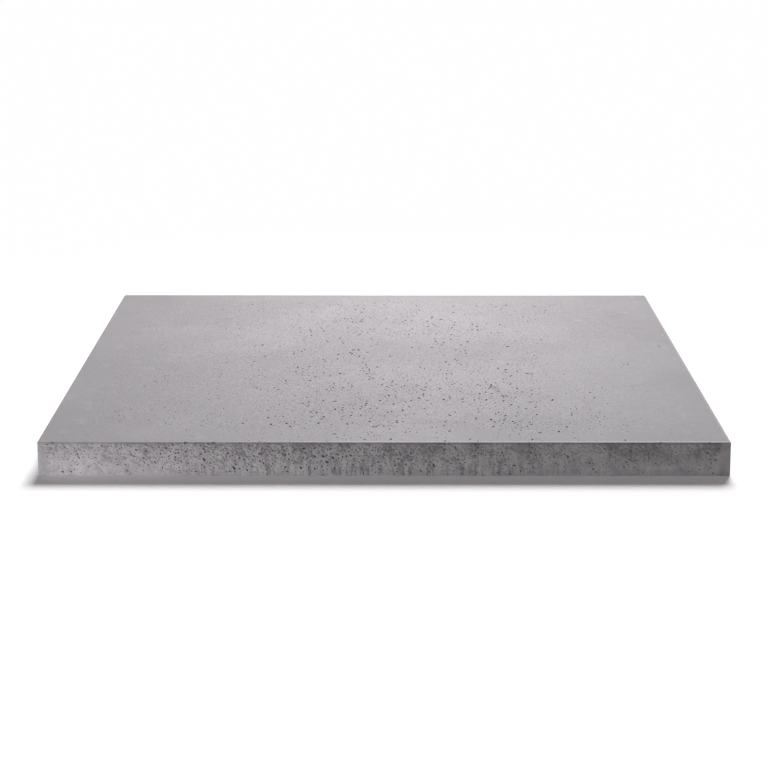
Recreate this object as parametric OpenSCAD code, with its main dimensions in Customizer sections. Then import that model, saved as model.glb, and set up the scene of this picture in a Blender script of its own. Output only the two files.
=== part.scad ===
// Concrete paving slab, cast face down in one piece.
// One edge section runs round the whole slab: it is drawn along the four sides and turned round
// the four upright corners, so that every side has the same draft and the same two arrises.
// The origin is the centre of the bedding face, +Z is up and the front side faces -Y.
// All lengths are in millimetres.

/* [Slab] */
// Width of the bedding face, from the left side to the right side
slab_width = 1000; // [300:10:1500]
// Depth of the bedding face, from the front side to the back side
slab_depth = 1000; // [300:10:1500]
// Thickness from the bedding face up to the walking face
slab_thickness = 50; // [30:1:120]

/* [Edges] */
// How far each side leans in between the bedding face and the walking face
side_draft = 0.5; // [0.1:0.1:1.5]
// Radius in plan of the upright corners, at the bedding face
corner_radius = 4; // [4:0.5:20]
// Radius of the arris round the walking face
arris_radius = 1.5; // [0.5:0.1:2]
// Radius of the arris round the bedding face
bed_radius = 1; // [0.5:0.1:2]

/* [Finish] */
// Colour of the concrete
concrete_colour = "#AFABAE"; // ["#AFABAE", "#8C8A8B", "#C9C4BA"]

/* [Hidden] */
$fn = 64;

// Plan of the block that the edge section runs round, between the axes of the upright corners
core_size = [slab_width, slab_depth] - 2 * [corner_radius, corner_radius];

// Angle between a side and the upright
draft_angle = atan(side_draft / slab_thickness);

// Direction that a side faces, in the plane of its section
side_normal = [cos(draft_angle), sin(draft_angle)];

// Where the edge section's two outer corners would be if its arrises were sharp
bed_corner = [corner_radius, 0];
walking_corner = [corner_radius - side_draft, slab_thickness];

// Distance of a side from the axis of its corner, at a height above the bedding face
function side_at(height) = corner_radius - side_draft * height / slab_thickness;

// Centre of the round that touches a side and the face that is one radius above or below
function round_centre(height, radius) = [side_at(height) - radius / cos(draft_angle), height];

// What the mould leaves off a sharp corner of the edge section to round it
module arris_relief(corner, centre, radius) {
    difference() {
        polygon([centre, [centre.x, corner.y], corner, centre + radius * side_normal]);
        translate(centre) circle(radius);
    }
}

// Section through one edge: from the axis of a corner at 0 out to the drafted side
module edge_section() {
    difference() {
        polygon([[0, 0], bed_corner, walking_corner, [0, slab_thickness]]);
        arris_relief(walking_corner, round_centre(slab_thickness - arris_radius, arris_radius), arris_radius);
        arris_relief(bed_corner, round_centre(bed_radius, bed_radius), bed_radius);
    }
}

// Edge section drawn along +Y for a run, with its side facing +X
module straight_edge(run) {
    rotate([90, 0, 0])
        linear_extrude(height = run, center = true) edge_section();
}

// Edge section turned a quarter round an upright corner, from facing +X to facing +Y
module turned_corner() {
    rotate_extrude(angle = 90) edge_section();
}

module paving_slab() {
    color(concrete_colour) {
        translate([-core_size.x / 2, -core_size.y / 2, 0])
            cube([core_size.x, core_size.y, slab_thickness]);
        for (quarter = [0:3]) {
            // The odd quarters have the slab's width where the even ones have its depth.
            plan = quarter % 2 == 0 ? core_size : [core_size.y, core_size.x];
            rotate(90 * quarter) {
                translate([plan.x / 2, 0, 0]) straight_edge(plan.y);
                translate([plan.x / 2, plan.y / 2, 0]) turned_corner();
            }
        }
    }
}

paving_slab();
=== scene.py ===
# Looks of the concrete paving slab: the cast block with its open air pores and chipped arrises, the
# finishes of its faces, and a plain white studio. Lengths are in metres, in the frame of the CAD part.
import math
from collections import namedtuple

import bmesh
import bpy
import numpy as np
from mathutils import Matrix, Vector, noise


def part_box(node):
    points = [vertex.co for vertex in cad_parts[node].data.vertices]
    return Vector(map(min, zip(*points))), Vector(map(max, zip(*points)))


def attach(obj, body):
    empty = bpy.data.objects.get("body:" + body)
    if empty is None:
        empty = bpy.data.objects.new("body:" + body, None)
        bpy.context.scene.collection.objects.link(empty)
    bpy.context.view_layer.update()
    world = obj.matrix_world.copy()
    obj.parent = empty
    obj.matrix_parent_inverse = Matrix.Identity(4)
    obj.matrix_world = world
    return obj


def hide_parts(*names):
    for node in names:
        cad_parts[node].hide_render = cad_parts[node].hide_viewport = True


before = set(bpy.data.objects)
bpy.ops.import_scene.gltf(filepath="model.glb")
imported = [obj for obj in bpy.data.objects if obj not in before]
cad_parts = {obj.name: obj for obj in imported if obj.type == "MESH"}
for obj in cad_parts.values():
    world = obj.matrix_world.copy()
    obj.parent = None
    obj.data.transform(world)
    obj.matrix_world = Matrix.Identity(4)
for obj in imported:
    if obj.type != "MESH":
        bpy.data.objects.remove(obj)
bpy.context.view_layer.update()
slab_low, slab_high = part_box("paving_slab")

MM = 0.001
X, Y, Z = Vector((1, 0, 0)), Vector((0, 1, 0)), Vector((0, 0, 1))
slab_size = slab_high - slab_low
slab_centre = (slab_low + slab_high) / 2
half_width = slab_size.x / 2

# Block: the sizes that the part's source gives its edges, and how finely they are rounded
SIDE_DRAFT = 0.5 * MM
CORNER_RADIUS = 4 * MM
ARRIS_RADIUS = 1.5 * MM
BED_RADIUS = 1 * MM
CORNER_SEGMENTS = 6
ARRIS_SEGMENTS = 4
GRID_CELL = 25 * MM
SIDE_ROWS = 2

# Block: what counts as along an axis, as level and as sharp, and the bends that are shaded round
ALIGNED = 0.9
LEVEL_TOLERANCE = 0.01 * MM
SHARP_ANGLE = math.radians(45)
SMOOTH_ANGLE = math.radians(50)

# Form of the pores: a narrow one is a pinhole, a wider one a blister, and the widest are craters
PINHOLE_LIMIT = 1.3 * MM
BLISTER_LIMIT = 1.9 * MM
# Form of the pores, counted in their own radius: a pinhole's cone, the lumps, and the depth
PINHOLE_SIDES = 5
PINHOLE_MOUTH = 1.8
PINHOLE_HEIGHT = 2
LUMP_SHARE = 0.55
LUMPS_PER_RADIUS = 1.4
PORE_DEPTHS = (0.5, 1.5)
# Reach of the noise field in which each pore finds its own lumps
LUMP_FIELD = 50

# Lie of the pores: how far they are drawn out, and which way, from a face's width towards its height
ROUNDISH = (1.0, 1.6)
DRAWN_OUT = (1.25, 1.8)
UPWARDS = math.radians(90)
SLANTING = math.radians(-40)
ANY_WAY = None
SWAY = 0.5

# Kinds of pores: how many, between which radii, how far drawn out, and which way they lie
PoreKind = namedtuple("PoreKind", "count radii stretches lie")
CRATERS = PoreKind(290, (1.9 * MM, 2.6 * MM), DRAWN_OUT, UPWARDS)
BLISTERS = PoreKind(900, (1.15 * MM, 1.9 * MM), DRAWN_OUT, UPWARDS)
PINHOLES = PoreKind(3000, (0.75 * MM, 1.25 * MM), DRAWN_OUT, UPWARDS)
STRAY_PINHOLES = PoreKind(150, (0.6 * MM, 1.2 * MM), ROUNDISH, ANY_WAY)
TOP_STRIP_PORES = PoreKind(130, (0.8 * MM, 1.7 * MM), DRAWN_OUT, SLANTING)
SIDE_CRATERS = PoreKind(36, (1.7 * MM, 2.2 * MM), ROUNDISH, SLANTING)
SIDE_BLISTERS = PoreKind(220, (1.2 * MM, 1.8 * MM), DRAWN_OUT, SLANTING)
SIDE_PINHOLES = PoreKind(900, (0.7 * MM, 1.2 * MM), DRAWN_OUT, SLANTING)
BEDDING_PORES = PoreKind(160, (0.8 * MM, 3 * MM), ROUNDISH, ANY_WAY)

# Chips: their number and radii, how long they are for their radius, and how far they reach along a side
UPPER_CHIPS = 90
UPPER_CHIP_RADII = (0.7 * MM, 2.2 * MM)
LOWER_CHIPS = 40
LOWER_CHIP_RADII = (0.6 * MM, 2 * MM)
CHIP_LENGTHS = (1.0, 2.2)
CHIP_REACH = 0.495

# Spread of the pores: spacing is gap over radii, and bias is how far small ones prevail
PORE_SEED = 27
PORE_SPACING = 1.1
SMALL_BIAS = 1.8
TRIES_PER_PORE = 60
FACE_MARGIN = 2.5 * MM

# Trapped air: wide patches of it and clusters of bubbles, with the swing of each round the mean
PATCH_WIDTH = 110 * MM
PATCH_SHIFT = Vector((1.6, 2.4, 1.1))
PATCH_SWING = 0.6
CLUSTER_WIDTH = 24 * MM
CLUSTER_SHIFT = Vector((0, 0, 0.5))
CLUSTER_SWING = 0.9
MEAN_AIR = 0.5
LEAST_AIR = 0.1

# Walking face: bands that its pores lie in, each a middle with its reach to the left and to the right
CRATER_BAND = (30 * MM, 200 * MM, 230 * MM)
BLISTER_BAND = (20 * MM, 280 * MM, 270 * MM)
PINHOLE_BAND = (20 * MM, 330 * MM, 280 * MM)
BAND_POWER = 3
# Walking face: the pores thin out towards the back and along the edges, and patches are drawn out in depth
BACK_SHARE = 0.35
FRONT_GAIN = 0.8
EDGE_STRIP = 55 * MM
EDGE_FADE = 30 * MM
FRONT_STRIP_SHARE = 0.4
PATCH_STRETCH = 2.5

# Sides: strip of pores under the walking face, by its rise over the middle of the side and its height
TOP_STRIP_RISE = 17 * MM
TOP_STRIP_HEIGHT = 14 * MM
# Sides: place along X with the most open skin, and the pores that stay far from it and at the bottom
OPEN_SKIN_CENTRE = -105 * MM
OPEN_SKIN_HALF_WIDTH = 410 * MM
CLOSED_SKIN_SHARE = 0.3
LEAST_RISE = 0.1
SIDE_PATCH_FINENESS = 2
# Sides: share of the width that craters keep to, and the strip at each corner that has no pores
CRATERED_SHARE = 0.76
CORNER_STRIP = 12 * MM


# Small tools

def select_elements(obj, kind, wanted):
    """Select the edges or faces of an object in edit mode for which wanted(element) holds, and no others."""
    bpy.ops.mesh.select_all(action="DESELECT")
    mesh = bmesh.from_edit_mesh(obj.data)
    mesh.normal_update()
    for element in getattr(mesh, kind):
        if wanted(element):
            element.select_set(True)
    mesh.select_flush_mode()
    bmesh.update_edit_mesh(obj.data)


def linear(hex_colour):
    """Linear RGBA of an sRGB hex colour."""
    shares = [int(hex_colour[i:i + 2], 16) / 255 for i in (1, 3, 5)]
    return [s / 12.92 if s <= 0.04045 else ((s + 0.055) / 1.055) ** 2.4 for s in shares] + [1.0]


def add_node(tree, kind, inputs=None, **settings):
    """Add a node with its settings. An input that is given a socket is linked to it, any other is set."""
    node = tree.nodes.new(kind)
    for name, value in settings.items():
        setattr(node, name, value)
    for name, value in (inputs or {}).items():
        if isinstance(value, bpy.types.NodeSocket):
            tree.links.new(value, node.inputs[name])
        else:
            node.inputs[name].default_value = value
    return node


# Block

def runs_along(axis):
    """Test for edges that run along an axis, 0 for X to 2 for Z."""
    def test(edge):
        run = edge.verts[1].co - edge.verts[0].co
        return abs(run[axis]) > ALIGNED * run.length
    return test


def is_upright_corner(edge):
    """Test for the edges that stand at the four corners."""
    reach = half_width - CORNER_RADIUS
    at_corner = all(min(abs(vert.co.x), abs(vert.co.y)) > reach for vert in edge.verts)
    return at_corner and runs_along(2)(edge)


def is_rim_at(height):
    """Test for the sharp edges round the face at a height."""
    def test(edge):
        level = all(abs(vert.co.z - height) < LEVEL_TOLERANCE for vert in edge.verts)
        return level and edge.calc_face_angle(0) > SHARP_ANGLE
    return test


def cast_block():
    """The slab as it leaves its mould: drafted sides, rounded upright corners and two rounded arrises."""
    bpy.ops.object.select_all(action="DESELECT")
    bpy.ops.mesh.primitive_cube_add(size=1, location=slab_centre, scale=slab_size, calc_uvs=False)
    slab = bpy.context.object
    slab.name = "concrete_slab"
    bpy.ops.object.transform_apply(location=True, rotation=True, scale=True)
    bpy.ops.object.mode_set(mode="EDIT")
    bpy.ops.mesh.select_mode(type="FACE")
    select_elements(slab, "faces", lambda face: face.normal.z > ALIGNED)
    lean = 1 - 2 * SIDE_DRAFT / slab_size.x
    bpy.ops.transform.resize(value=(lean, lean, 1), center_override=(0, 0, slab_high.z))
    # Square grid on both faces, so that the pores are cut into small even quads
    bpy.ops.mesh.select_mode(type="EDGE")
    for axis, cells in enumerate((slab_size.x / GRID_CELL, slab_size.y / GRID_CELL, SIDE_ROWS)):
        select_elements(slab, "edges", runs_along(axis))
        bpy.ops.mesh.subdivide(number_cuts=round(cells) - 1)
    select_elements(slab, "edges", is_upright_corner)
    bpy.ops.mesh.bevel(offset=CORNER_RADIUS, segments=CORNER_SEGMENTS)
    select_elements(slab, "edges", is_rim_at(slab_high.z))
    bpy.ops.mesh.bevel(offset=ARRIS_RADIUS, segments=ARRIS_SEGMENTS)
    select_elements(slab, "edges", is_rim_at(slab_low.z))
    bpy.ops.mesh.bevel(offset=BED_RADIUS, segments=ARRIS_SEGMENTS)
    bpy.ops.object.mode_set(mode="OBJECT")
    return slab


# Faces of the block, each with its middle and the directions of its width and its height

Face = namedtuple("Face", "middle across up width height")


def side_face(across):
    """The drafted side whose width runs in a direction, with the slab's inside on that direction's left."""
    outward = across.cross(Z)
    reach = half_width - SIDE_DRAFT / 2
    lean = outward * (SIDE_DRAFT / slab_size.z)
    return Face(slab_centre + outward * reach, across, Z - lean, slab_size.x, slab_size.z)


FACES = {
    "walking": Face(Vector((0, 0, slab_high.z)), X, Y, slab_size.x, slab_size.y),
    "bedding": Face(Vector((0, 0, slab_low.z)), X, -Y, slab_size.x, slab_size.y),
    "front": side_face(X),
    "right": side_face(Y),
    "back": side_face(-X),
    "left": side_face(-Y),
}
SIDES = ("front", "right", "back", "left")


# Pores: hollows that air bubbles left against the mould, cut out of the block as one joined mesh

def hollow_shape(add_primitive, **settings):
    """Points and faces of a small closed shape, round its own origin."""
    add_primitive(calc_uvs=False, **settings)
    model = bpy.context.object
    points = np.array([vert.co for vert in model.data.vertices])
    faces = [tuple(face.vertices) for face in model.data.polygons]
    bpy.data.objects.remove(model)
    return points, faces


class Hollows:
    """A joined mesh of lumpy hollows that keep clear of each other. Wider ones have more faces."""

    def __init__(self, seed):
        self.random = np.random.default_rng(seed)
        pinhole = hollow_shape(bpy.ops.mesh.primitive_cone_add, vertices=PINHOLE_SIDES,
                               radius1=PINHOLE_MOUTH, radius2=0, depth=PINHOLE_HEIGHT)
        blister = hollow_shape(bpy.ops.mesh.primitive_ico_sphere_add, subdivisions=1, radius=1)
        crater = hollow_shape(bpy.ops.mesh.primitive_ico_sphere_add, subdivisions=2, radius=1)
        self.shapes = ((PINHOLE_LIMIT, pinhole), (BLISTER_LIMIT, blister), (math.inf, crater))
        self.spots = np.empty((0, 4))
        self.points = []
        self.faces = []

    def add(self, place, along, inward, radii):
        """Add a hollow with radii along, across and inward, and say whether it was clear of the others."""
        reach = max(radii)
        gaps = np.linalg.norm(self.spots[:, :3] - place, axis=1)
        if np.any(gaps < PORE_SPACING * (self.spots[:, 3] + reach)):
            return False
        width = math.sqrt(radii[0] * radii[1])
        points, faces = next(shape for limit, shape in self.shapes if width < limit)
        offset = Vector(self.random.uniform(-LUMP_FIELD, LUMP_FIELD, 3))
        swell = [LUMP_SHARE * noise.noise(offset + LUMPS_PER_RADIUS * Vector(p)) for p in points]
        lumpy = points * (1 + np.array(swell))[:, None] * np.array(radii)
        axes = np.array((along, inward.cross(along), inward))
        first = len(self.points)
        self.points.extend((np.array(place) + lumpy @ axes).tolist())
        self.faces.extend([first + index for index in face] for face in faces)
        self.spots = np.vstack((self.spots, (*place, reach)))
        return True

    def joined(self, name):
        """The hollows as one object."""
        mesh = bpy.data.meshes.new(name)
        mesh.from_pydata(self.points, [], self.faces)
        cutter = bpy.data.objects.new(name, mesh)
        bpy.context.scene.collection.objects.link(cutter)
        return cutter


def trapped_air(place):
    """Share of the air that stayed at a place: wide patches of it, with clusters of bubbles in each."""
    patch = MEAN_AIR + PATCH_SWING * noise.noise(place / PATCH_WIDTH + PATCH_SHIFT)
    cluster = MEAN_AIR + CLUSTER_SWING * noise.noise(place / CLUSTER_WIDTH + CLUSTER_SHIFT)
    return min(1, max(LEAST_AIR, patch * cluster / MEAN_AIR))


def walking_density(middle, left_reach, right_reach):
    """Pores of the walking face lie in a band from front to back, and thin out to the back and the edges."""
    def density(x, y):
        reach = left_reach if x < middle else right_reach
        band = math.exp(-abs((x - middle) / reach) ** BAND_POWER)
        thinning = BACK_SHARE + FRONT_GAIN * (slab_high.y - y) / slab_size.y
        off_back = min(1, max(0, (slab_high.y - y - EDGE_STRIP) / EDGE_FADE))
        off_front = min(1, max(FRONT_STRIP_SHARE, (y - slab_low.y - EDGE_STRIP) / EDGE_FADE))
        return band * thinning * off_back * off_front * trapped_air(Vector((x, y / PATCH_STRETCH, 0)))
    return density


def side_density(face):
    """Air rose along the sides of the mould, so their pores crowd under the walking face."""
    def density(u, v):
        place = face.middle + u * face.across + v * face.up
        rise = LEAST_RISE + (1 - LEAST_RISE) * place.z / slab_size.z
        from_open = (place.x - OPEN_SKIN_CENTRE) / OPEN_SKIN_HALF_WIDTH
        openness = max(CLOSED_SKIN_SHARE, 1 - from_open ** 2)
        return rise * openness * trapped_air(SIDE_PATCH_FINENESS * place)
    return density


def even_density(x, y):
    """As many pores here as anywhere."""
    return 1.0


def draw_radius(random, radii):
    """A radius between the smallest and the largest one, most often near the smallest."""
    smallest, largest = radii
    return smallest * (largest / smallest) ** (random.random() ** SMALL_BIAS)


def sow(hollows, face, kind, density):
    """Spread pores of a kind over a face."""
    random = hollows.random
    span = Vector((face.width / 2 - FACE_MARGIN, face.height / 2 - FACE_MARGIN))
    inward = -face.across.cross(face.up).normalized()
    sown = 0
    for _ in range(TRIES_PER_PORE * kind.count):
        if sown == kind.count:
            break
        u, v = random.uniform(-1, 1) * span.x, random.uniform(-1, 1) * span.y
        if random.random() > density(u, v):
            continue
        radius = draw_radius(random, kind.radii)
        turn = random.uniform(0, math.tau) if kind.lie is ANY_WAY else random.normal(kind.lie, SWAY)
        stretch = random.uniform(*kind.stretches)
        along = math.cos(turn) * face.across + math.sin(turn) * face.up.normalized()
        depth = random.uniform(*PORE_DEPTHS)
        place = face.middle + u * face.across + v * face.up
        if hollows.add(place, along, inward, (radius * stretch, radius / stretch, radius * depth)):
            sown += 1


def chip_arris(hollows, height, count, radii):
    """Knock small bites off the arris at a height, all round the slab."""
    random = hollows.random
    rise = height - slab_centre.z
    chipped = 0
    for _ in range(TRIES_PER_PORE * count):
        if chipped == count:
            break
        face = FACES[SIDES[random.integers(len(SIDES))]]
        u = random.uniform(-CHIP_REACH, CHIP_REACH) * face.width
        radius = draw_radius(random, radii)
        place = face.middle + u * face.across + rise * face.up
        inward = (-face.across.cross(Z) - math.copysign(1, rise) * Z).normalized()
        length = radius * random.uniform(*CHIP_LENGTHS)
        if hollows.add(place, face.across, inward, (length, radius, radius)):
            chipped += 1


# Groups of pores that stand out on the walking face: middle and half size in millimetres, and number
CRATER_GROUPS = (
    ((173, -190), (9, 9), 7),
    ((188, -244), (5, 5), 4),
    ((-14, -416), (4, 4), 3),
    ((52, -190), (3, 3), 2),
    ((-49, 60), (5, 5), 4),
    ((126, -40), (5, 5), 3),
    ((101, -27), (4, 4), 2),
    ((236, -106), (5, 5), 3),
    ((400, -40), (4, 4), 2),
    ((-51, -399), (5, 4), 2),
    ((19, -388), (4, 5), 2),
    ((-69, -102), (4, 6), 2),
    ((110, -170), (4, 4), 2),
)
CRATER_GROUP_RADII = (1.6 * MM, 2.8 * MM)
PINHOLE_GROUPS = (
    ((-399, -342), (12, 55), 10),
    ((-333, -348), (20, 75), 20),
    ((-355, -138), (22, 25), 9),
    ((321, -353), (42, 60), 24),
)
PINHOLE_GROUP_RADII = (1.1 * MM, 1.8 * MM)


def sow_groups(hollows, groups, radii):
    """Sow the pores of each group into its own small patch of the walking face."""
    for (x, y), (half_x, half_y), count in groups:
        middle = Vector((x * MM, y * MM, slab_high.z))
        patch = Face(middle, X, Y, 2 * (half_x * MM + FACE_MARGIN), 2 * (half_y * MM + FACE_MARGIN))
        sow(hollows, patch, PoreKind(count, radii, DRAWN_OUT, UPWARDS), even_density)


def pore_cutter():
    """All pores and chips of the slab, the ones that stand out first."""
    hollows = Hollows(PORE_SEED)
    sow_groups(hollows, CRATER_GROUPS, CRATER_GROUP_RADII)
    sow_groups(hollows, PINHOLE_GROUPS, PINHOLE_GROUP_RADII)
    chip_arris(hollows, slab_high.z, UPPER_CHIPS, UPPER_CHIP_RADII)
    chip_arris(hollows, slab_low.z, LOWER_CHIPS, LOWER_CHIP_RADII)
    sow(hollows, FACES["walking"], CRATERS, walking_density(*CRATER_BAND))
    sow(hollows, FACES["walking"], BLISTERS, walking_density(*BLISTER_BAND))
    sow(hollows, FACES["walking"], PINHOLES, walking_density(*PINHOLE_BAND))
    sow(hollows, FACES["walking"], STRAY_PINHOLES, even_density)
    for side in SIDES:
        face = FACES[side]._replace(width=slab_size.x - 2 * CORNER_STRIP)
        top_strip = face._replace(middle=face.middle + TOP_STRIP_RISE * face.up, height=TOP_STRIP_HEIGHT)
        middle_part = face._replace(width=CRATERED_SHARE * slab_size.x)
        sow(hollows, top_strip, TOP_STRIP_PORES, side_density(top_strip))
        sow(hollows, middle_part, SIDE_CRATERS, side_density(face))
        sow(hollows, face, SIDE_BLISTERS, side_density(face))
        sow(hollows, face, SIDE_PINHOLES, side_density(face))
    sow(hollows, FACES["bedding"], BEDDING_PORES, even_density)
    return hollows.joined("pore_cutter")


def cut_pores(slab, cutter):
    """Take the hollows out of the block. Their walls keep the cutter's material."""
    pores = slab.modifiers.new("pores", "BOOLEAN")
    pores.operation = "DIFFERENCE"
    pores.solver = "MANIFOLD"
    pores.material_mode = "TRANSFER"
    pores.object = cutter
    bpy.ops.object.select_all(action="DESELECT")
    bpy.context.view_layer.objects.active = slab
    slab.select_set(True)
    bpy.ops.object.modifier_apply(modifier=pores.name)
    bpy.data.objects.remove(cutter)


def nearest_faces(slab):
    """Number in FACES of the block's face that each polygon of the mesh lies in or is cut into."""
    centres = np.zeros(len(slab.data.polygons) * 3)
    slab.data.polygons.foreach_get("center", centres)
    centres = centres.reshape(-1, 3)
    depths = []
    for face in FACES.values():
        inward = -face.across.cross(face.up).normalized()
        depths.append((centres - np.array(face.middle)) @ np.array(inward))
    return np.argmin(np.array(depths), axis=0)


# Layout of the faces on the square that finishes are baked to: left, bottom, width and height
BAKE_LAYOUT = {
    "walking": (0.01, 0.31, 0.68, 0.68),
    "bedding": (0.71, 0.31, 0.28, 0.28),
    "front": (0.01, 0.23, 0.98, 0.06),
    "right": (0.01, 0.16, 0.98, 0.06),
    "back": (0.01, 0.09, 0.98, 0.06),
    "left": (0.01, 0.02, 0.98, 0.06),
}


def lay_out(slab, face_numbers):
    """Give every polygon its place on the bake square, straight off the face that it belongs to."""
    mesh = slab.data
    points = np.zeros(len(mesh.vertices) * 3)
    mesh.vertices.foreach_get("co", points)
    corners = np.zeros(len(mesh.loops), dtype=int)
    mesh.loops.foreach_get("vertex_index", corners)
    corner_counts = np.zeros(len(mesh.polygons), dtype=int)
    mesh.polygons.foreach_get("loop_total", corner_counts)
    corner_points = points.reshape(-1, 3)[corners]
    corner_faces = np.repeat(face_numbers, corner_counts)
    layout = np.zeros((len(corners), 2))
    for number, (name, face) in enumerate(FACES.items()):
        left, bottom, width, height = BAKE_LAYOUT[name]
        mine = corner_faces == number
        offsets = corner_points[mine] - np.array(face.middle)
        layout[mine, 0] = left + width * (0.5 + offsets @ np.array(face.across) / face.width)
        layout[mine, 1] = bottom + height * (0.5 + offsets @ np.array(face.up) / face.height)
    bake_map = mesh.uv_layers.new(name="OFBake")
    bake_map.uv.foreach_set("vector", layout.ravel())


# Finishes. Speckle and sand are drawn coarser than the real grains, so that they show in the render.

SAND_GRAIN = 1.4 * MM
SAND_DETAIL = 3.0
CEMENT_IOR = 1.5
CEMENT_GLOSS = 0.12
# Share of a dot's radius inside which it is full
DOT_CORE = 0.6


def patches(tree, place, width, edges, strength, detail=3.0):
    """Mask of soft patches about this wide: none for noise under the first edge, full over the second."""
    field = add_node(tree, "ShaderNodeTexNoise", {"Vector": place, "Scale": 1 / width, "Detail": detail})
    return add_node(tree, "ShaderNodeMapRange", {
        "Value": field.outputs["Fac"], "From Min": edges[0], "From Max": edges[1],
        "To Min": 0.0, "To Max": strength}, interpolation_type="SMOOTHSTEP").outputs["Result"]


def dots(tree, place, spacing, radius, strength):
    """Mask of round dots of many sizes up to a radius, one at most to each cell of a random packing."""
    cells = add_node(tree, "ShaderNodeTexVoronoi", {"Vector": place, "Scale": 1 / spacing})
    return add_node(tree, "ShaderNodeMapRange", {
        "Value": cells.outputs["Distance"],
        "From Min": radius / spacing, "From Max": DOT_CORE * radius / spacing,
        "To Min": 0.0, "To Max": strength}, interpolation_type="SMOOTHSTEP").outputs["Result"]


def distance_from(tree, place, middle, shares):
    """Distance from a middle, with only a share of it counted along each axis."""
    start = [-along * share for along, share in zip(middle, shares)]
    away = add_node(tree, "ShaderNodeMapping", {0: place, "Location": start, "Scale": shares}).outputs[0]
    return add_node(tree, "ShaderNodeVectorMath", {0: away}, operation="LENGTH").outputs["Value"]


def concrete(name, base_tone, layers, roughness, grit):
    """Concrete finish. Its base tone is covered, in turn, by layers of another tone through masks."""
    material = bpy.data.materials.new(name)
    material.use_nodes = True
    tree = material.node_tree
    tree.nodes.clear()
    place = add_node(tree, "ShaderNodeTexCoord").outputs["Object"]
    colour = linear(base_tone)
    for cover_tone, share, *masks in layers(tree, place):
        for mask in masks:
            share = add_node(tree, "ShaderNodeMath", {0: share, 1: mask}, operation="MULTIPLY").outputs[0]
        colour = add_node(tree, "ShaderNodeMix", {0: share, 6: colour, 7: linear(cover_tone)},
                          data_type="RGBA").outputs[2]
    sand = add_node(tree, "ShaderNodeTexNoise", {
        "Vector": place, "Scale": 1 / SAND_GRAIN, "Detail": SAND_DETAIL})
    relief = add_node(tree, "ShaderNodeBump", {
        "Height": sand.outputs["Fac"], "Distance": grit, "Strength": 1.0})
    surface = add_node(tree, "ShaderNodeBsdfPrincipled", {
        "Base Color": colour, "Roughness": roughness, "IOR": CEMENT_IOR,
        "Specular IOR Level": CEMENT_GLOSS, "Normal": relief.outputs["Normal"]})
    add_node(tree, "ShaderNodeOutputMaterial", {"Surface": surface.outputs["BSDF"]})
    return material


# Walking face: it is palest round this middle, which is partly painted light from the back, and differences
# in depth count for half
PALE_MIDDLE = (8 * MM, 155 * MM, 0)
PALE_SHARES = (1, 0.5, 0)
# Walking face: distances from that middle over which it turns grey, partly a real greying and partly painted
# shade where the light from the back falls off, and over which its speckle calms down
GREYING_AND_SHADING = (120 * MM, 620 * MM)
GREY_AND_SHADE_SHARE = 0.62
CALMING = (200 * MM, 480 * MM)
CALM_SHARE = 0.4
# Walking face: share of the edge strip where the speckle is weakest, and how much of it is left there
STRIP_CORE = 0.8
STRIP_SPECKLE = 0.6
# Walking face: a painted highlight, a pale line along the edge, by where it grows along X and where it lies
# in from the edge
ARRIS_HIGHLIGHT_RUN = (-280 * MM, -50 * MM)
ARRIS_HIGHLIGHT_SHARE = 0.38
LINE_START = (9 * MM, 6 * MM)
LINE_END = (1.5 * MM, 2.5 * MM)
# The line lies this much nearer the edge on the left and right than at the front and back
SIDE_LINE_SHIFT = Vector((4 * MM, 0, 0))
# Walking face: its grain is drawn out in depth
WALKING_GRAIN_STRETCH = 1.5
# Dark smudges on the walking face: middle and radius in millimetres
STAINS = (
    ((173, -190), 8),
    ((188, -244), 6),
    ((-14, -416), 5),
    ((472, 86), 6),
)
# Smudges: differences in depth count for half, and they are full inside this share of the radius
STAIN_SHARES = (1, 0.5, 0)
STAIN_CORE = 0.3


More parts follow.
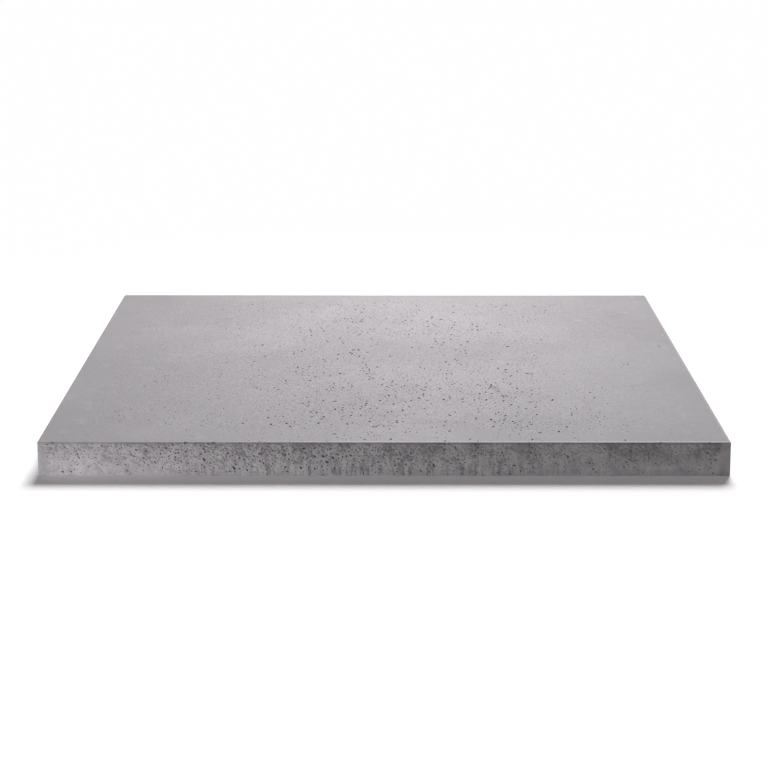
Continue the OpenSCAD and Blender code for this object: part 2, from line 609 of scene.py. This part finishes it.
def walking_layers(tree, place):
    """Soft clouds, greyer ends that are partly painted shade, a sandy speckle with dark dots of painted
    shade for tiny pores, a few smudges, and a painted highlight along the arris on the right.
    """
    across = add_node(tree, "ShaderNodeSeparateXYZ", {0: place}).outputs["X"]
    offset = add_node(tree, "ShaderNodeVectorMath", {0: place}, operation="ABSOLUTE")
    shifted = add_node(tree, "ShaderNodeVectorMath", {
        0: offset.outputs[0], 1: SIDE_LINE_SHIFT}, operation="SUBTRACT")
    reaches = add_node(tree, "ShaderNodeSeparateXYZ", {0: shifted.outputs[0]}).outputs
    reach = add_node(tree, "ShaderNodeMath", {
        0: reaches["X"], 1: reaches["Y"]}, operation="MAXIMUM").outputs[0]
    from_pale = distance_from(tree, place, PALE_MIDDLE, PALE_SHARES)
    ends = add_node(tree, "ShaderNodeMapRange", {
        "Value": from_pale, "From Min": GREYING_AND_SHADING[0], "From Max": GREYING_AND_SHADING[1], "To Max": GREY_AND_SHADE_SHARE},
        interpolation_type="SMOOTHSTEP").outputs["Result"]
    lively = add_node(tree, "ShaderNodeMapRange", {
        "Value": from_pale, "From Min": CALMING[0], "From Max": CALMING[1],
        "To Min": 1.0, "To Max": CALM_SHARE}).outputs["Result"]
    inner = add_node(tree, "ShaderNodeMapRange", {
        "Value": reach, "From Min": half_width - STRIP_CORE * EDGE_STRIP,
        "From Max": half_width - EDGE_STRIP, "To Min": STRIP_SPECKLE}).outputs["Result"]
    arris_highlight = add_node(tree, "ShaderNodeMapRange", {
        "Value": across, "From Min": ARRIS_HIGHLIGHT_RUN[0], "From Max": ARRIS_HIGHLIGHT_RUN[1],
        "To Max": ARRIS_HIGHLIGHT_SHARE}).outputs["Result"]
    line_start = add_node(tree, "ShaderNodeMapRange", {
        "Value": reach, "From Min": half_width - LINE_START[0],
        "From Max": half_width - LINE_START[1]}).outputs["Result"]
    line_end = add_node(tree, "ShaderNodeMapRange", {
        "Value": reach, "From Min": half_width - LINE_END[0],
        "From Max": half_width - LINE_END[1]}).outputs["Result"]
    grain = add_node(tree, "ShaderNodeMapping", {
        0: place, "Scale": (1, 1 / WALKING_GRAIN_STRETCH, 1)}).outputs[0]
    yield "#B0ACAF", patches(tree, place, 260 * MM, (0.42, 0.62), 0.6)
    # Greyer towards the ends and the front: partly a real greying of the tone, partly painted shade where
    # the light from the back falls off
    yield "#878487", ends
    yield "#8E8A8F", patches(tree, place, 70 * MM, (0.52, 0.75), 0.35, detail=5.0)
    yield "#B5B1B4", patches(tree, grain, 22 * MM, (0.55, 0.8), 0.3, detail=5.0)
    yield "#777376", lively, inner, patches(tree, grain, 2.8 * MM, (0.5, 0.72), 0.9, detail=4.0)
    yield "#C3BFC2", lively, inner, patches(tree, grain, 3.4 * MM, (0.52, 0.76), 0.7, detail=4.0)
    # Dark dots for pores too small to cut: their darkness is painted shade
    yield "#5E5A5D", lively, inner, dots(tree, grain, 6 * MM, 1.0 * MM, 0.6)
    for (x, y), radius in STAINS:
        from_stain = distance_from(tree, place, (x * MM, y * MM, 0), STAIN_SHARES)
        stain = add_node(tree, "ShaderNodeMapRange", {
            "Value": from_stain, "From Min": radius * MM,
            "From Max": STAIN_CORE * radius * MM}).outputs["Result"]
        yield "#6E6A6D", stain, patches(tree, grain, 2.6 * MM, (0.35, 0.6), 0.75, detail=2.0)
    # Painted highlight: a pale line along the arris of the walking face, growing stronger towards the right
    yield "#C6C2C5", arris_highlight, line_start, line_end


# Sides: heights over which they darken upwards, pale downwards, gain pits, and darken once more at the arris
UPPER_PART = (12 * MM, 46 * MM)
LOWER_PART = (32 * MM, 10 * MM)
AIRED_PART = (12 * MM, 33 * MM)
LEAST_AIRED = 0.3
ARRIS_LINE = (45.5 * MM, 48.5 * MM)
ARRIS_LINE_SHARE = 0.4
# Sides: even veils over the lower and the upper part. The upper one is stronger to the right than to the
# left, which is painted shade where the light from the left falls off
LOWER_VEIL = 0.2
UPPER_VEIL = 0.36
LEFT_TO_RIGHT = (-450 * MM, 450 * MM)
RIGHTWARD_PAINTED_SHADE = (0.65, 1.25)
# Sides: share of the open skin's half width inside which its pits are full, and the pits left outside it
OPEN_SKIN_CORE = 0.3
CLOSED_SKIN_PITS = 0.6
# Sides: the plain strip at each corner fades in over this width
CORNER_FADE = 8 * MM
CORNER_SHARE = 0.6
# Sides: distances from the middle over which bleed water grows, and how far its runs are drawn out downwards
BLEEDING = (320 * MM, 140 * MM)
LEAST_BLEEDING = 0.25
RUN_STRETCH = 7
# Sides: their grain is drawn out along the slant of the pores in the front
SIDE_GRAIN_STRETCH = 2.2


def side_layers(tree, place):
    """Dark and pocked under the walking face, with painted shade that deepens to the right and in the pits,
    paler and streaked by bleed water below, plain at corners.
    """
    spot = add_node(tree, "ShaderNodeSeparateXYZ", {0: place}).outputs
    upper = add_node(tree, "ShaderNodeMapRange", {
        "Value": spot["Z"], "From Min": UPPER_PART[0], "From Max": UPPER_PART[1]}).outputs["Result"]
    painted_shade_rightwards = add_node(tree, "ShaderNodeMapRange", {
        "Value": spot["X"], "From Min": LEFT_TO_RIGHT[0], "From Max": LEFT_TO_RIGHT[1],
        "To Min": RIGHTWARD_PAINTED_SHADE[0], "To Max": RIGHTWARD_PAINTED_SHADE[1]}).outputs["Result"]
    under_arris = add_node(tree, "ShaderNodeMapRange", {
        "Value": spot["Z"], "From Min": ARRIS_LINE[0], "From Max": ARRIS_LINE[1],
        "To Max": ARRIS_LINE_SHARE}).outputs["Result"]
    lower = add_node(tree, "ShaderNodeMapRange", {
        "Value": spot["Z"], "From Min": LOWER_PART[0], "From Max": LOWER_PART[1]}).outputs["Result"]
    aired = add_node(tree, "ShaderNodeMapRange", {
        "Value": spot["Z"], "From Min": AIRED_PART[0], "From Max": AIRED_PART[1],
        "To Min": LEAST_AIRED}).outputs["Result"]
    from_open = distance_from(tree, place, (OPEN_SKIN_CENTRE, 0, 0), (1, 0, 0))
    open_skin = add_node(tree, "ShaderNodeMapRange", {
        "Value": from_open, "From Min": OPEN_SKIN_HALF_WIDTH,
        "From Max": OPEN_SKIN_CORE * OPEN_SKIN_HALF_WIDTH, "To Min": CLOSED_SKIN_PITS}).outputs["Result"]
    offset = add_node(tree, "ShaderNodeVectorMath", {0: place}, operation="ABSOLUTE")
    reaches = add_node(tree, "ShaderNodeSeparateXYZ", {0: offset.outputs[0]}).outputs
    along = add_node(tree, "ShaderNodeMath", {
        0: reaches["X"], 1: reaches["Y"]}, operation="MINIMUM").outputs[0]
    corner = add_node(tree, "ShaderNodeMapRange", {
        "Value": along, "From Min": half_width - CORNER_STRIP - CORNER_FADE,
        "From Max": half_width - CORNER_STRIP, "To Max": CORNER_SHARE}).outputs["Result"]
    bleeding = add_node(tree, "ShaderNodeMapRange", {
        "Value": along, "From Min": BLEEDING[0], "From Max": BLEEDING[1],
        "To Min": LEAST_BLEEDING}).outputs["Result"]
    runs = add_node(tree, "ShaderNodeMapping", {0: place, "Scale": (1, 1, 1 / RUN_STRETCH)}).outputs[0]
    grain = add_node(tree, "ShaderNodeMapping", {
        0: place, "Rotation": (0, -(UPWARDS + SLANTING), 0), "Scale": (1, 1, SIDE_GRAIN_STRETCH)},
        vector_type="TEXTURE").outputs[0]
    clumps = patches(tree, place, 14 * MM, (0.42, 0.6), 1.0, detail=2.0)
    yield "#AAA6A9", lower, LOWER_VEIL
    yield "#B2AEB1", lower, patches(tree, place, 30 * MM, (0.5, 0.62), 0.42, detail=4.0)
    yield "#787477", patches(tree, place, 12 * MM, (0.5, 0.7), 0.45, detail=5.0)
    # The upper veil and its patches darken from left to right: painted shade
    yield "#635F62", upper, painted_shade_rightwards, UPPER_VEIL
    yield "#575356", upper, painted_shade_rightwards, patches(tree, place, 45 * MM, (0.42, 0.6), 0.5, detail=4.0)
    yield "#686467", lower, bleeding, patches(tree, runs, 5 * MM, (0.48, 0.62), 0.7)
    yield "#B4B1B3", lower, bleeding, patches(tree, runs, 7 * MM, (0.52, 0.66), 0.5)
    yield "#AAA6A9", patches(tree, grain, 3.2 * MM, (0.52, 0.72), 0.45, detail=2.0)
    # Dark pits for pores too small to cut: their darkness is painted shade
    yield "#464345", aired, open_skin, patches(tree, grain, 2.8 * MM, (0.5, 0.68), 0.57, detail=2.0)
    yield "#3B373A", aired, open_skin, clumps, patches(tree, place, 2.4 * MM, (0.54, 0.66), 0.8, detail=1.0)
    yield "#535052", under_arris
    yield "#7E7A7D", corner


def bedding_layers(tree, place):
    """Pale patches from the float, and a coarse dark grain."""
    yield "#B4B0B0", patches(tree, place, 120 * MM, (0.4, 0.65), 0.7, detail=4.0)
    yield "#8C8888", patches(tree, place, 9 * MM, (0.5, 0.75), 0.6, detail=5.0)
    yield "#7C7878", patches(tree, place, 2.6 * MM, (0.5, 0.75), 0.5, detail=2.0)


def pore_layers(tree, place):
    """Paler flecks of cement."""
    yield "#8A8689", patches(tree, place, 3 * MM, (0.45, 0.7), 0.45, detail=2.0)


# Concrete cast against a smooth mould: a matt grey skin with soft clouds and a fine sandy speckle
walking_finish = concrete("concrete_cast_face", "#A29EA1", walking_layers, roughness=0.8, grit=0.1 * MM)
# Concrete cast against the mould's side boards: darker under the walking face, streaked by bleed water below
side_finish = concrete("concrete_cast_side", "#9A9799", side_layers, roughness=0.8, grit=0.2 * MM)
# Concrete struck off and floated by hand: even, dry and coarse
bedding_finish = concrete("concrete_floated_back", "#A29E9F", bedding_layers, roughness=0.85, grit=0.35 * MM)
# Cement paste that set against an air bubble: dull, and darker than the skin, partly from dust and partly
# painted shade that deepens the pores
shaded_pore_finish = concrete("cement_paste_pore_painted_shade", "#524E51", pore_layers, roughness=0.8, grit=0.15 * MM)
FINISHES = {"walking": walking_finish, "bedding": bedding_finish}


def finish_faces(slab, face_numbers):
    """Give each face of the block its finish, and leave the pores with theirs."""
    mesh = slab.data
    slots = np.zeros(len(mesh.polygons), dtype=int)
    mesh.polygons.foreach_get("material_index", slots)
    pore_slot = mesh.materials.find(shaded_pore_finish.name)
    is_pore = slots == pore_slot
    for number, name in enumerate(FACES):
        finish = FINISHES.get(name, side_finish)
        if mesh.materials.find(finish.name) < 0:
            mesh.materials.append(finish)
        slots[(face_numbers == number) & ~is_pore] = mesh.materials.find(finish.name)
    mesh.polygons.foreach_set("material_index", slots)


def shade(slab):
    """Round shading on the arrises and inside the pores, with crisp pore rims and flat faces."""
    bpy.ops.object.mode_set(mode="EDIT")
    bpy.ops.mesh.select_mode(type="EDGE")
    select_elements(slab, "edges", lambda edge: len({face.material_index for face in edge.link_faces}) > 1)
    bpy.ops.mesh.mark_sharp()
    bpy.ops.object.mode_set(mode="OBJECT")
    bpy.ops.object.shade_smooth_by_angle(angle=SMOOTH_ANGLE)
    weights = slab.modifiers.new("flat_faces", "WEIGHTED_NORMAL")
    weights.keep_sharp = True
    bpy.ops.object.modifier_apply(modifier=weights.name)


slab = cast_block()
slab.data.materials.append(walking_finish)
cutter = pore_cutter()
cutter.data.materials.append(shaded_pore_finish)
cut_pores(slab, cutter)
shade(slab)
face_numbers = nearest_faces(slab)
finish_faces(slab, face_numbers)
lay_out(slab, face_numbers)
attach(slab, "root")
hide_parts("paving_slab")


# Studio: a white floor, a broad key light from behind, a softbox over the back, and two low lamps in front

FLOOR_SIZE = 60.0
SHADE_TINT = "#FFF8FE"
SUN_ELEVATION = math.radians(41)
SUN_AZIMUTH = math.radians(9)
SUN_ANGLE = math.radians(22)
SUN_DISTANCE = 5.0
# Levels: what a white sheet that faces up shows of each, where 1 is white
KEY_LEVEL = 0.83
AMBIENT_LEVEL = 0.08
FLOOR_GLOW = 0.095
# Lamps with a flat face: place, target, width and height in metres, power in watts, and spread of the light
Softbox = namedtuple("Softbox", "place target width height power spread")
FULL_SPREAD = math.radians(180)
NARROW_SPREAD = math.radians(80)
SOFTBOXES = {
    "fill": Softbox((-0.75, -1.0, 0.013), (-0.4, -0.5, 0.018), 0.4, 0.024, 3.3, FULL_SPREAD),
    "front_strip": Softbox((0.1, -1.2, 0.018), (0.1, -0.5, 0.02), 1.6, 0.03, 2.0, FULL_SPREAD),
    "back_softbox": Softbox((0.15, 1.35, 0.95), (0.1, 0.35, 0.05), 0.7, 0.5, 2.2, NARROW_SPREAD),
}


def seen_directly(tree):
    """1 for rays from the camera and for reflected and refracted ones, 0 for light on a matt surface."""
    path = add_node(tree, "ShaderNodeLightPath")
    seen = add_node(tree, "ShaderNodeMath", {
        0: path.outputs["Is Camera Ray"], 1: path.outputs["Is Glossy Ray"]}, operation="MAXIMUM").outputs[0]
    return add_node(tree, "ShaderNodeMath", {
        0: seen, 1: path.outputs["Is Transmission Ray"]}, operation="MAXIMUM").outputs[0]


def white_floor():
    """Floor of matt white paper, with a faint glow to the eye that keeps its shade light."""
    bpy.ops.mesh.primitive_plane_add(size=FLOOR_SIZE, location=(0, 0, slab_low.z))
    floor = bpy.context.object
    floor.name = "floor"
    material = bpy.data.materials.new("matt_white_paper")
    material.use_nodes = True
    tree = material.node_tree
    tree.nodes.clear()
    paper = add_node(tree, "ShaderNodeBsdfDiffuse", {"Color": linear("#FFFFFF")})
    strength = add_node(tree, "ShaderNodeMath", {
        0: seen_directly(tree), 1: FLOOR_GLOW}, operation="MULTIPLY")
    glow = add_node(tree, "ShaderNodeEmission", {
        "Color": linear(SHADE_TINT), "Strength": strength.outputs[0]})
    both = add_node(tree, "ShaderNodeAddShader", {0: paper.outputs[0], 1: glow.outputs[0]})
    add_node(tree, "ShaderNodeOutputMaterial", {"Surface": both.outputs[0]})
    floor.data.materials.append(material)


def studio_world():
    """White to the eye and in reflections, and dimmer as light on the slab."""
    world = bpy.data.worlds.new("studio")
    bpy.context.scene.world = world
    world.use_nodes = True
    tree = world.node_tree
    tree.nodes.clear()
    shade = add_node(tree, "ShaderNodeBackground", {"Color": linear(SHADE_TINT), "Strength": AMBIENT_LEVEL})
    backdrop = add_node(tree, "ShaderNodeBackground", {"Color": linear("#FFFFFF"), "Strength": 1.0})
    sky = add_node(tree, "ShaderNodeMixShader", {
        0: seen_directly(tree), 1: shade.outputs[0], 2: backdrop.outputs[0]})
    add_node(tree, "ShaderNodeOutputWorld", {"Surface": sky.outputs[0]})


def add_light(name, kind, place, target, **settings):
    """Hang a lamp at a place, aim it at a target, and hide it from the camera."""
    light = bpy.data.lights.new(name, kind)
    for setting, value in settings.items():
        setattr(light, setting, value)
    lamp = bpy.data.objects.new(name, light)
    bpy.context.scene.collection.objects.link(lamp)
    lamp.location = place
    lamp.rotation_euler = (Vector(target) - Vector(place)).to_track_quat("-Z", "Y").to_euler()
    lamp.visible_camera = False


def lights():
    """The key light, like a veiled sun, and the softboxes."""
    towards_sun = Vector((math.sin(SUN_AZIMUTH) * math.cos(SUN_ELEVATION),
                          math.cos(SUN_AZIMUTH) * math.cos(SUN_ELEVATION),
                          math.sin(SUN_ELEVATION)))
    add_light("key", "SUN", towards_sun * SUN_DISTANCE, (0, 0, 0), angle=SUN_ANGLE,
              energy=KEY_LEVEL * math.pi / math.sin(SUN_ELEVATION))
    for name, box in SOFTBOXES.items():
        add_light(name, "AREA", box.place, box.target, shape="RECTANGLE", size=box.width,
                  size_y=box.height, energy=box.power, spread=box.spread)


# Camera: where the slab's corners in the photograph put it
CAMERA_PLACE = (0.004, -3.2605, 0.8658)
CAMERA_PITCH = math.radians(14.787)
CAMERA_TURN = math.radians(0.085)
LOOKING_LEVEL = math.radians(90)
LENS = 93.82
SENSOR_WIDTH = 36


def camera():
    """Camera with the photograph's view of the slab."""
    lens = bpy.data.cameras.new("camera")
    lens.lens = LENS
    lens.sensor_width = SENSOR_WIDTH
    eye = bpy.data.objects.new("camera", lens)
    eye.location = CAMERA_PLACE
    eye.rotation_euler = (LOOKING_LEVEL - CAMERA_PITCH, 0, CAMERA_TURN)
    bpy.context.scene.collection.objects.link(eye)
    bpy.context.scene.camera = eye


white_floor()
studio_world()
lights()
camera()
bpy.context.scene.view_settings.view_transform = "Standard"
